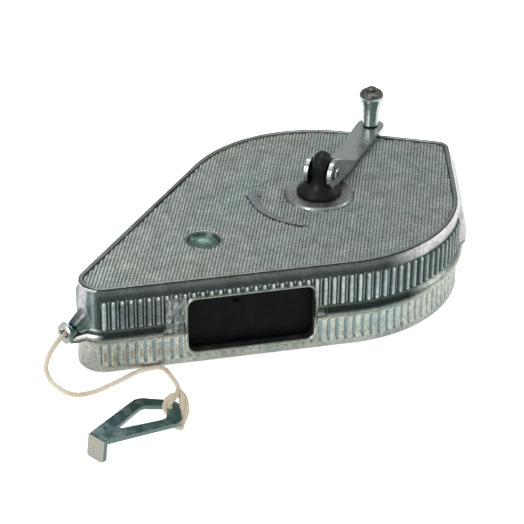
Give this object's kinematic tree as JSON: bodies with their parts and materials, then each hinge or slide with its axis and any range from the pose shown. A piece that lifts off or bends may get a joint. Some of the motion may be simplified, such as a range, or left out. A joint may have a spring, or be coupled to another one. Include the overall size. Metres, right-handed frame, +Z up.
{
  "type": "chalk line reel",
  "caption": "Teardrop die-cast chalk line reel with a folding crank and knob, a sliding chalk door in its side, a line led out through the nose, and a flat hook on the line.",
  "frame": {"origin": "on the flat base, under the spool axis", "axes": "+X from the spool axis towards the rounded-off tail, so the line leaves towards -X; +Z up along the spool axis, out of the crank side"},
  "size_m": [0.1595, 0.0842, 0.0416],
  "materials": {
    "die_cast": "die-cast, knurled top and ribbed sides",
    "plated_steel": "bright zinc plate",
    "dark_zinc": "blue-grey zinc plate",
    "black_plastic": "smooth black",
    "spool_plastic": "plain moulded",
    "twine": "twisted cotton",
    "felt": "felt",
    "fibre": "vulcanised fibre"
  },
  "bodies": {
    "case": {"case_upper": "die_cast", "case_lower": "die_cast", "case_screw_nose": "plated_steel", "case_screw_tail": "plated_steel", "case_screw_left": "plated_steel", "case_screw_right": "plated_steel", "line_ferrule": "plated_steel", "felt_wiper_lower": "felt", "felt_wiper_upper": "felt", "hub_felt_seal": "felt", "washer_lower": "fibre", "line_inside": "twine", "line_free": "twine"},
    "door": {"chalk_door": "black_plastic"},
    "reel": {"spool": "spool_plastic", "line_winding": "twine", "washer_upper": "fibre", "drive_hub": "black_plastic", "hub_screw": "plated_steel"},
    "crank": {"crank_arm": "plated_steel", "crank_pin": "plated_steel", "knob_rivet": "plated_steel"},
    "knob": {"crank_knob": "plated_steel"},
    "hook": {"line_knot": "twine", "hook_loop": "twine", "line_hook": "dark_zinc"}
  },
  "joints": [
    {"name": "spool_spin", "type": "hinge", "parent": "case", "child": "reel", "pos_m": [0, 0, 0], "axis": [0, 0, 1], "continuous": true},
    {"name": "crank_fold", "type": "hinge", "parent": "reel", "child": "crank", "pos_m": [0.00036, -0.00066, 0.0334], "axis": [0.4802, -0.8771, 0], "range_deg": [0, 176]},
    {"name": "knob_spin", "type": "hinge", "parent": "crank", "child": "knob", "pos_m": [0.03694, 0.01937, 0.0334], "axis": [0, 0, 1], "continuous": true},
    {"name": "door_slide", "type": "slide", "parent": "case", "child": "door", "axis": [0.8993, -0.4373, 0], "range_m": [0, 0.015]},
    {"name": "hook_swing", "type": "hinge", "parent": "case", "child": "hook", "pos_m": [-0.0715, -0.0287, 0.0017], "axis": [-0.1564, 0.9877, 0], "range_deg": [0, 60]}
  ]
}
